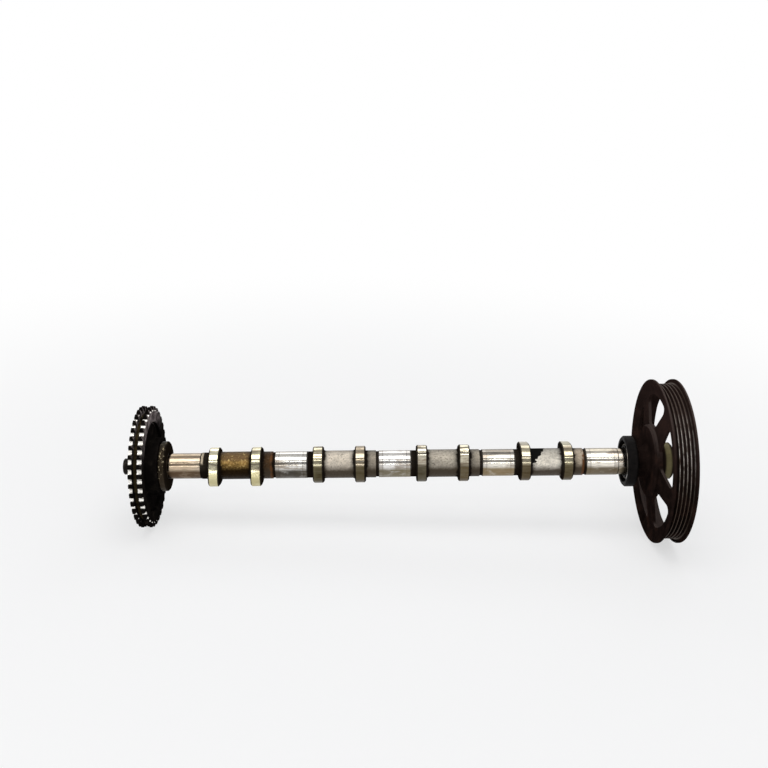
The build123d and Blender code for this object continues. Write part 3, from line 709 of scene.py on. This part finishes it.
# ---- camshaft finish -------------------------------------------------------------------
class CamshaftFinish(Finish):
    """Ground journals and lobes on an as-cast shaft, with old oil and painted shade in its grooves and
    below.
    """

    def __init__(self):
        super().__init__(bpy.data.materials.new("camshaft_iron"))
        self.x = self.axes()[0]
        self.around = self.turn()
        self.blotch = self.pattern(*BLOTCHES)
        self.cloud = self.pattern(*CLOUDS)
        self.grit = self.pattern(*GRIT)
        self.smears = self.noise(self.wrapped(*SMEAR_REPEATS), *SMEAR_NOISE)
        self.find_ground_faces()
        self.find_oil()

    def wrapped(self, x_repeats, turn_repeats, seed=0.0):
        """Place on the shaft's skin as if it were unrolled."""
        return self.vector(self.times(self.x, x_repeats), self.times(self.around, turn_repeats), seed)

    def find_ground_faces(self):
        """Masks of the journals, the lobes and the seal's land."""
        half_bay = BAY_PITCH / 2
        self.phase = self.maths("WRAP", self.x, half_bay, -half_bay)
        from_pair = self.maths("WRAP", self.less(self.x, half_bay + LOBE_PAIR_SHIFT), half_bay, -half_bay)
        off_pair = self.maths("ABSOLUTE", from_pair)
        self.from_lobe = self.maths("ABSOLUTE", self.less(off_pair, LOBE_SPACING / 2))
        self.side_face = self.ramp(self.facing(0), *SIDE_FACE)
        self.in_bays = self.beyond(self.x, FRONT_JOURNAL[1] + FIRST_GAP)
        self.main_journal = self.times(self.within(self.phase, -JOURNAL_HALF, JOURNAL_HALF), self.in_bays)
        front = self.within(self.x, *FRONT_JOURNAL)
        seal_land = self.beyond(self.x, SEAL_LAND_START)
        lobe_width = self.ramp(self.from_lobe, LOBE_HALF, LOBE_HALF - LOBE_CORNER)
        self.lobe = self.times(lobe_width, self.beyond(self.radius(), LOBE_LEAST_RADIUS))
        turned = self.any_of(self.any_of(self.main_journal, front, seal_land), self.lobe)
        self.ground = self.times(turned, self.not_(self.side_face))

    def find_oil(self):
        """Masks of the oil film with painted shade below, and of the black of old oil and painted shade
        beside lobes, in grooves and on side faces.
        """
        # The underside: an oil film darkened with painted shade.
        self.far_below = self.ramp(self.around, *OIL_SHADE_BEHIND)
        self.below = self.any_of(self.ramp(self.around, *OIL_SHADE_BELOW), self.far_below)
        patchy = self.ramp(self.sum_of((self.blotch, self.smears), FILM_SHADE_SHARES), *FILM_SHADE_PATCHES)
        lobe_underside = self.ramp(self.plus(self.around, self.times(self.smears, LOBE_OIL_SHADE_RAGS)), *LOBE_OIL_SHADE)
        on_lobe = self.all_of(self.lobe, lobe_underside, self.ramp(self.x, *LOBE_OIL_SHADE_FROM))
        self.film_and_shade = self.any_of(self.times(self.below, patchy), self.times(on_lobe, LOBE_OIL_SHADE_DEPTH))
        # Black of old oil and painted shade beside the lobes, in grooves and necks and on side faces.
        lobe_foot = self.ragged(self.from_lobe, self.blotch, OIL_SHADE_BESIDE_LOBE_RAGS)
        beside_lobe = self.ramp(lobe_foot, *OIL_SHADE_BESIDE_LOBE)
        groove = self.within(self.phase, -JOURNAL_HALF - RELIEF_WIDTH, -JOURNAL_HALF)
        neck = self.within(self.phase, JOURNAL_HALF, JOURNAL_HALF + NECK_WIDTH)
        front_neck = self.within(self.x, FRONT_JOURNAL[1], FRONT_JOURNAL[1] + FRONT_NECK_WIDTH)
        front_neck = self.times(front_neck, self.ramp(self.around, *FRONT_NECK_SHADE))
        self.oil_and_shade = self.any_of(self.side_face, beside_lobe, groove, neck, front_neck)

    def reflection_lines(self, seed):
        """Thin painted reflection lines along the shaft, side by side round a lobe."""
        lines = self.noise(self.wrapped(*REFLECTION_LINE_REPEATS, seed), *REFLECTION_LINE_NOISE)
        return self.times(self.ramp(lines, *REFLECTION_LINE_EDGES), self.lobe)

    def ground_colour(self):
        """Steel of the journals and lobes under its smears and stains, with painted shade on the journals'
        tops, painted reflection lines on the lobes, and an oil film with painted shade below.
        """
        worn = self.mix(self.lobe, self.along(JOURNALS, JOURNAL_TINTS), self.along(LOBES, LOBE_TINTS))
        worn = self.scaled(worn, self.ramp(self.smears, *SMEAR_SHADE))
        # Painted shade over the journals' tops.
        on_top = self.ramp(self.ragged(self.around, self.smears, SHADE_TOP_RAGS), *SHADE_TOP)
        on_top = self.times(on_top, self.not_(self.lobe))
        worn = self.mix(on_top, worn, self.tint(worn, self.along(JOURNALS, TOP_SHADES)))
        grime = self.ramp(self.sum_of((self.blotch, self.smears), GRIME_SHARES), *GRIME_PATCHES)
        grime = self.all_of(grime, self.lobe, self.ramp(self.x, *GRIME_ALONG))
        worn = self.mix(grime, worn, GRIME)
        # Painted shade in patches on the fourth journal's top.
        greyed = self.ramp(self.ragged(self.around, self.smears, GREYED_TOP_RAGS), *GREYED_TOP)
        greyed = self.times(self.within(self.x, *GREYED_JOURNAL), greyed)
        greyed = self.times(greyed, self.ramp(self.blotch, *GREYED_PATCHES))
        worn = self.mix(greyed, worn, GREYED_TOP_SHADE)
        worn = self.bearing_marks(worn)
        stained = self.ramp(self.sum_of((self.cloud, self.smears), STAIN_SHARES), *STAIN_PATCHES)
        worn = self.coat(worn, stained, *STAIN)
        # Painted reflection lines on the lobes.
        worn = self.coat(worn, self.reflection_lines(DARK_REFLECTION_SEED), *DARK_REFLECTION_LINES)
        worn = self.coat(worn, self.reflection_lines(BRIGHT_REFLECTION_SEED), *BRIGHT_REFLECTION_LINES)
        # Colour of the oil film with painted shade below.
        film_and_shade = self.mix(self.lobe, self.along(JOURNALS, FILM_SHADE_TINTS), self.along(LOBES, LOBE_FILM_SHADE_TINTS))
        worn = self.coat(worn, self.film_and_shade, film_and_shade, FILM_SHADE_COVER)
        behind_flange = self.less(self.x, FRONT_JOURNAL[0])
        crust = self.ramp(self.ragged(behind_flange, self.blotch, CRUST_RAGS), *CRUST_EDGE)
        return self.mix(self.times(crust, self.not_(self.in_bays)), worn, CRUST_BROWN)

    def bearing_marks(self, worn):
        """Duller ends of a journal, with a line where the bearing's edge has run."""
        off_middle = self.maths("ABSOLUTE", self.phase)
        land = JOURNAL_HALF - JOURNAL_LAND
        dull = self.times(self.within(off_middle, land, JOURNAL_HALF), self.main_journal)
        worn = self.coat(worn, dull, *DULL_STEEL)
        line = self.within(off_middle, land - LAND_LINE_HALF, land + LAND_LINE_HALF)
        return self.coat(worn, self.times(line, self.main_journal), *LAND_LINE)

    def cast_colour(self):
        """As-cast skin of barrels, collars and flange, with painted shade over the top, beside the lobes
        and below, and a painted highlight on the rear barrel.
        """
        gold = self.within(self.x, *GOLD_BARREL)
        rear = self.within(self.x, *REAR_BARREL)
        places, tints = zip(*CAST_TINTS)
        cast = self.along(places, tints, "CONSTANT")
        uneven = self.ramp(self.sum_of((self.grit, self.blotch), CAST_SHARES), *CAST_PATCHES)
        darkest = self.blend(gold, CAST_DARKEST, GOLD_DARKEST)
        brightest = self.blend(gold, CAST_BRIGHTEST, GOLD_BRIGHTEST)
        cast = self.scaled(cast, self.blend(uneven, darkest, brightest))
        high = self.times(gold, self.ramp(self.around, *GOLD_TOP))
        cast = self.coat(cast, high, *GOLD_TOP_BROWN)
        grains = self.all_of(gold, self.ramp(self.grit, *GOLD_GRAINS), self.not_(self.below))
        cast = self.mix(grains, cast, GOLD_GRAIN)
        # Painted shade over the top and beside the lobes.
        cast = self.scaled(cast, self.ramp(self.around, *BARREL_TOP_SHADE))
        foot = self.plus(self.from_lobe, self.times(self.blotch, BARREL_FOOT_SHADE_RAGS))
        cast = self.scaled(cast, self.ramp(foot, *BARREL_FOOT_SHADE))
        # Painted highlight half way down the rear barrel.
        rear_highlight = self.ramp(self.around, *REAR_BARREL_HIGHLIGHT)
        cast = self.scaled(cast, self.blend(rear, 1.0, rear_highlight))
        pits = self.times(self.ramp(self.pattern(*PITS), *PITS_SHOW), self.not_(gold))
        cast = self.mix(self.times(pits, self.ramp(self.cloud, *PITTED_CLOUDS)), cast, PIT_DARK)
        # Painted shade below, sooner on the first barrel and later on the rear one.
        shade = self.ragged(self.around, self.blotch, BARREL_SHADE_RAGS)
        shade = self.less(shade, self.times(rear, REAR_SHADE_LATER))
        shade = self.plus(shade, self.times(gold, GOLD_SHADE_SOONER))
        shaded = self.any_of(self.ramp(shade, *BARREL_SHADE), self.far_below)
        below = self.mix(gold, BARREL_SHADE_BELOW, GOLD_BARREL_SHADE_BELOW)
        cast = self.coat(cast, shaded, below, BARREL_SHADE_COVER)
        # Black of old oil and painted shade in the creases.
        cast = self.coat(cast, self.oil_and_shade, *OIL_AND_SHADE_BLACK)
        return self.mix(self.rust_ring(), cast, RUST)

    def rust_ring(self):
        """Rusty line in front of two of the journals."""
        ring = self.within(self.phase, *RUST_RING, RUST_RING_SOFT)
        ring = self.times(ring, self.ramp(self.blotch, *RUST_PATCHES))
        bays = [self.within(self.x, place - BAY_PITCH / 3, place) for place in RUSTY_JOURNALS]
        return self.times(ring, self.any_of(*bays))

    def smudge(self):
        """Thick black dirt on the rear barrel, run down beside the lobe."""
        side = self.ragged(self.ramp(self.around, *SMUDGE_EDGE), self.pattern(*RAGS), SMUDGE_RAGS)
        before_side = self.ramp(self.less(side, self.x), -EDGE, EDGE)
        ends = self.ragged(self.around, self.blotch, SMUDGE_END_RAGS)
        ends = self.within(ends, *SMUDGE_ENDS, SMUDGE_END_SOFT)
        return self.all_of(before_side, ends, self.beyond(self.x, SMUDGE_START))

    def flange_glints(self):
        """Painted glints on the flange's rim, on its lit side."""
        spots = self.ramp(self.pattern(*GLINTS), *GLINTS_SHOW)
        flange = self.beyond(self.radius(), FLANGE_RADIUS)
        in_front = self.maths("LESS_THAN", self.x, FRONT_JOURNAL[0])
        lit_side = self.within(self.around, *FLANGE_GLINT, FLANGE_GLINT_SOFT)
        return self.all_of(spots, flange, lit_side, in_front)

    def paint(self):
        smudge = self.smudge()
        # Dirt and painted shade: the black creases and the smudge.
        dirt_and_shade = self.any_of(self.oil_and_shade, smudge)
        cast = self.mix(smudge, self.cast_colour(), SMUDGE_BLACK)
        # Painted glints on the flange.
        cast = self.coat(cast, self.flange_glints(), *FLANGE_HIGHLIGHT)
        colour = self.mix(self.ground, cast, self.ground_colour())
        smooth = self.blend(self.film_and_shade, self.ramp(self.smears, *GROUND_ROUGHNESS), FILM_ROUGHNESS)
        rough = self.blend(dirt_and_shade, CAST_ROUGHNESS, DIRT_ROUGHNESS)
        metal = self.blend(self.ground, self.blend(dirt_and_shade, CAST_METAL, 0.0), 1.0)
        self.surface(colour, self.blend(self.ground, rough, smooth), metal, gloss=0.0)
        self.bump((self.times(self.grit, self.not_(self.ground)), *PEBBLES))
        return self.owner


# ---- sprocket, pulley, seal and fixings ------------------------------------------------
def sprocket_finish():
    """Dark steel under oil, thinner and with painted light high on its face, rubbed bright in the tooth
    gaps by the chain.
    """
    g = new_finish("oily_sprocket")
    x, _, z = g.axes()
    radius = g.radius()
    blotch = g.pattern(*SPROCKET_BLOTCHES)
    grain = g.pattern(*SPROCKET_GRAIN)
    edge_on = g.ramp(g.facing(0), *EDGE_ON)
    # Upper face: thinner oil film with painted light from above.
    dry_shade = g.ramp(g.sum_of((grain, blotch), DRY_SHARES), *DRY_SHADE)
    dry_and_lit = g.scaled(g.colours(blotch, SPROCKET_DRY_AND_LIT), dry_shade)
    upper = g.ramp(g.ragged(z, blotch, SPROCKET_FALL_RAGS), *SPROCKET_FACE_FALL)
    rim = g.times(g.ramp(radius, *SPROCKET_RIM), g.not_(edge_on))
    colour = g.mix(g.times(upper, rim), g.colours(blotch, SPROCKET_OIL), dry_and_lit)
    groove = g.times(g.within(radius, *ROW_GROOVE), edge_on)
    colour = g.mix(g.times(groove, g.ramp(blotch, *GROOVE_PATCHES)), colour, GROOVE_DIRT)
    in_gap = g.times(g.ramp(radius, *TOOTH_SIDE), g.ramp(radius, *GAP_FLOOR))
    rubbed = g.all_of(in_gap, edge_on, g.not_(g.within(x, *FRONT_ROW_REAR)))
    colour = g.mix(g.times(rubbed, g.ramp(grain, *CHAIN_RUB)), colour, CHAIN_BRIGHT)
    roughness = g.blend(rubbed, g.ramp(blotch, *DULL_ROUGHNESS), BRIGHT_ROUGHNESS)
    g.surface(colour, roughness, rubbed, gloss=0.0)
    untouched = g.not_(rubbed)
    grain_layer = (g.times(grain, untouched), *SPROCKET_GRAIN_RELIEF)
    blotch_layer = (g.times(blotch, untouched), *SPROCKET_BLOTCH_RELIEF)
    g.bump(grain_layer, blotch_layer)
    return g.owner


def pulley_finish():
    """Black coating gone brown with rust and lighter with painted light towards the top, thinner on the rib
    crests and the rear hub, with painted highlights on the crests and the rear hub.
    """
    g = new_finish("rusty_pulley")
    x, _, z = g.axes()
    radius = g.radius()
    blotch = g.pattern(*PULLEY_BLOTCHES)
    grain = g.pattern(*PULLEY_GRAIN)
    # Brown and lighter towards the top: rust with painted light from above.
    upper = g.ramp(g.ragged(z, blotch, PULLEY_UPPER_RAGS), *PULLEY_UPPER)
    colour = g.coat(g.colours(blotch, PULLEY_COAT), upper, *PULLEY_RUST_AND_LIGHT)
    # Dust with painted light on faces that look up.
    dust_and_light = g.times(g.ramp(g.normal()[2], *DUST_AND_LIGHT_SLOPE), g.ramp(radius, *DUST_AND_LIGHT_RADIUS))
    colour = g.coat(colour, dust_and_light, *PULLEY_DUST_AND_LIGHT)
    crest = g.times(g.ramp(radius, *RIB_FLANK), g.ramp(radius, *RIB_TOP))
    crest = g.times(crest, g.within(x, *RIB_STRETCH))
    # Painted highlight along the crests on one side, broken up by sparkle.
    shine = g.within(g.turn(), *CREST_SHINE, CREST_SHINE_SOFT)
    shine = g.times(shine, g.ramp(g.pattern(*CREST_GRAIN), *CREST_SPARKLE))
    crest_tone = g.mix(shine, CREST_DULL, CREST_HIGHLIGHT)
    colour = g.mix(g.times(crest, g.ramp(grain, *CREST_PATCHES)), colour, crest_tone)
    # Painted highlight band on the rear hub's bare metal.
    rear_hub = g.within(x, *REAR_HUB_HIGHLIGHT, REAR_HUB_HIGHLIGHT_SOFT)
    rear_hub = g.times(rear_hub, g.ramp(radius, *REAR_HUB_RADIUS))
    colour = g.mix(g.times(rear_hub, g.ramp(blotch, *REAR_HUB_PATCHES)), colour, REAR_HUB_HIGHLIGHT_OLIVE)
    metal = g.blend(g.any_of(crest, rear_hub), 0.0, BARE_METAL)
    g.surface(colour, g.ramp(blotch, *DULL_ROUGHNESS), metal, gloss=0.0)
    g.bump((grain, *PULLEY_GRAIN_RELIEF), (blotch, *PULLEY_BLOTCH_RELIEF))
    return g.owner


def rubber_finish():
    """Black rubber, with a painted highlight arc at its mouth."""
    g = new_finish("seal_rubber_black")
    blotch = g.pattern(*RUBBER_BLOTCHES)
    # Painted highlight arc on the near side of the mouth, given as bare steel.
    ring = g.within(g.radius(), *MOUTH_RING, MOUTH_RING_SOFT)
    ring = g.times(ring, g.ramp(g.facing(0), *MOUTH_FACING))
    ring = g.times(ring, g.within(g.turn(), *MOUTH_HIGHLIGHT, MOUTH_HIGHLIGHT_SOFT))
    colour = g.mix(ring, g.colours(blotch, RUBBER_BLACK), MOUTH_HIGHLIGHT_COLOUR)
    roughness = g.blend(ring, g.ramp(blotch, *DULL_ROUGHNESS), BRIGHT_ROUGHNESS)
    g.surface(colour, roughness, g.blend(ring, 0.0, MOUTH_HIGHLIGHT_METAL), RUBBER_GLOSS)
    g.bump((g.pattern(*RUBBER_GRAIN), *RUBBER_RELIEF))
    return g.owner


def fixing_finish():
    """Dull dark steel of bolt, washer and dowel."""
    g = new_finish("dull_fixing")
    blotch = g.pattern(*FIXING_BLOTCHES)
    colour = g.colours(blotch, FIXING_STEEL)
    g.surface(colour, g.ramp(blotch, *FIXING_ROUGHNESS), FIXING_METAL, FIXING_GLOSS)
    g.bump((g.pattern(*FIXING_GRAIN), *FIXING_RELIEF))
    return g.owner


def seal_steel_finish():
    """Sheet steel and spring wire of the seal, wet with old oil."""
    g = new_finish("seal_steel_oily")
    streaks = g.pattern(*SEAL_STEEL_STREAKS)
    g.surface(g.colours(streaks, SEAL_STEEL), g.ramp(streaks, *SEAL_STEEL_ROUGHNESS), metallic=1.0)
    g.bump((streaks, *SEAL_STEEL_RELIEF))
    return g.owner


# ---- garter spring coil ----------------------------------------------------------------
def coil_tree(material):
    """A wire wound round a ring: a circle's points swing round it, one turn every few points."""
    tree = bpy.data.node_groups.new("wound_ring", "GeometryNodeTree")
    kinds = {"Ring radius": "Float", "Coil radius": "Float", "Wire radius": "Float", "Turns": "Int",
             "Place": "Float"}
    names = {}
    for name, kind in kinds.items():
        socket = tree.interface.new_socket(name, in_out="INPUT", socket_type="NodeSocket" + kind)
        names[name] = socket.identifier
    tree.interface.new_socket("Geometry", in_out="OUTPUT", socket_type="NodeSocketGeometry")
    g = Tree(tree)
    given = g.node("NodeGroupInput").outputs
    ring = g.node("GeometryNodeCurvePrimitiveCircle")
    g.put(g.times(given["Turns"], COIL_STEPS), ring.inputs["Resolution"])
    g.put(given["Ring radius"], ring.inputs["Radius"])
    swing = g.times(g.node("GeometryNodeInputIndex").outputs[0], math.tau / COIL_STEPS)
    outwards = g.times(g.maths("COSINE", swing), given["Coil radius"])
    sideways = g.times(g.maths("SINE", swing), given["Coil radius"])
    spot = g.node("GeometryNodeInputPosition").outputs[0]
    grown = g.scaled(spot, g.plus(1.0, g.over(outwards, given["Ring radius"])))
    wound = g.node("GeometryNodeSetPosition")
    g.put(ring.outputs["Curve"], wound.inputs["Geometry"])
    g.put(grown, wound.inputs["Position"])
    g.put(g.vector(0.0, 0.0, sideways), wound.inputs["Offset"])
    section = g.node("GeometryNodeCurvePrimitiveCircle")
    section.inputs["Resolution"].default_value = WIRE_SIDES
    g.put(given["Wire radius"], section.inputs["Radius"])
    wire = g.node("GeometryNodeCurveToMesh")
    g.put(wound.outputs[0], wire.inputs["Curve"])
    g.put(section.outputs["Curve"], wire.inputs["Profile Curve"])
    placed = g.node("GeometryNodeTransform")
    g.put(wire.outputs[0], placed.inputs["Geometry"])
    placed.inputs["Rotation"].default_value = (0, math.pi / 2, 0)
    g.put(g.vector(given["Place"], 0.0, 0.0), placed.inputs["Translation"])
    real = g.node("GeometryNodeRealizeInstances")
    g.put(placed.outputs[0], real.inputs[0])
    painted = g.node("GeometryNodeSetMaterial")
    painted.inputs["Material"].default_value = material
    g.put(real.outputs[0], painted.inputs["Geometry"])
    g.put(painted.outputs[0], g.node("NodeGroupOutput").inputs[0])
    return tree, names


def garter_coil(material):
    """The seal's spring, wound with its turns side by side."""
    low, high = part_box("garter_spring")
    tube = (high[0] - low[0]) / 2
    ring = high[2] - tube
    turns = int(math.tau * (ring - tube) / (2 * COIL_WIRE))
    sizes = {"Ring radius": ring, "Coil radius": tube - COIL_WIRE, "Wire radius": COIL_WIRE, "Turns": turns,
             "Place": (low[0] + high[0]) / 2}
    tree, names = coil_tree(material)
    maker = bpy.data.objects.new("coil_maker", bpy.data.meshes.new("coil_maker"))
    bpy.context.scene.collection.objects.link(maker)
    modifier = maker.modifiers.new("wound_ring", "NODES")
    modifier.node_group = tree
    for name, size in sizes.items():
        modifier[names[name]] = size
    graph = bpy.context.evaluated_depsgraph_get()
    mesh = bpy.data.meshes.new_from_object(maker.evaluated_get(graph))
    bpy.data.objects.remove(maker)
    mesh.polygons.foreach_set("use_smooth", [True] * len(mesh.polygons))
    coil = bpy.data.objects.new("garter_coil", mesh)
    bpy.context.scene.collection.objects.link(coil)
    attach(coil, "root")
    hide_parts("garter_spring")


def dress(node, material):
    """Gives a CAD node's every face one finish."""
    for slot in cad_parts[node].material_slots:
        slot.material = material


# ---- everything in place ---------------------------------------------------------------
add_camera()
add_floor()
add_world()
for lamp in LAMPS:
    add_lamp(*lamp)

dress("camshaft", CamshaftFinish().paint())
dress("chain_sprocket", sprocket_finish())
dress("belt_pulley", pulley_finish())
dress("seal_rubber", rubber_finish())
fixing = fixing_finish()
for name in ("sprocket_bolt", "sprocket_washer", "sprocket_dowel"):
    dress(name, fixing)
seal_steel = seal_steel_finish()
dress("seal_case", seal_steel)
garter_coil(seal_steel)

bpy.context.scene.view_settings.view_transform = "Standard"
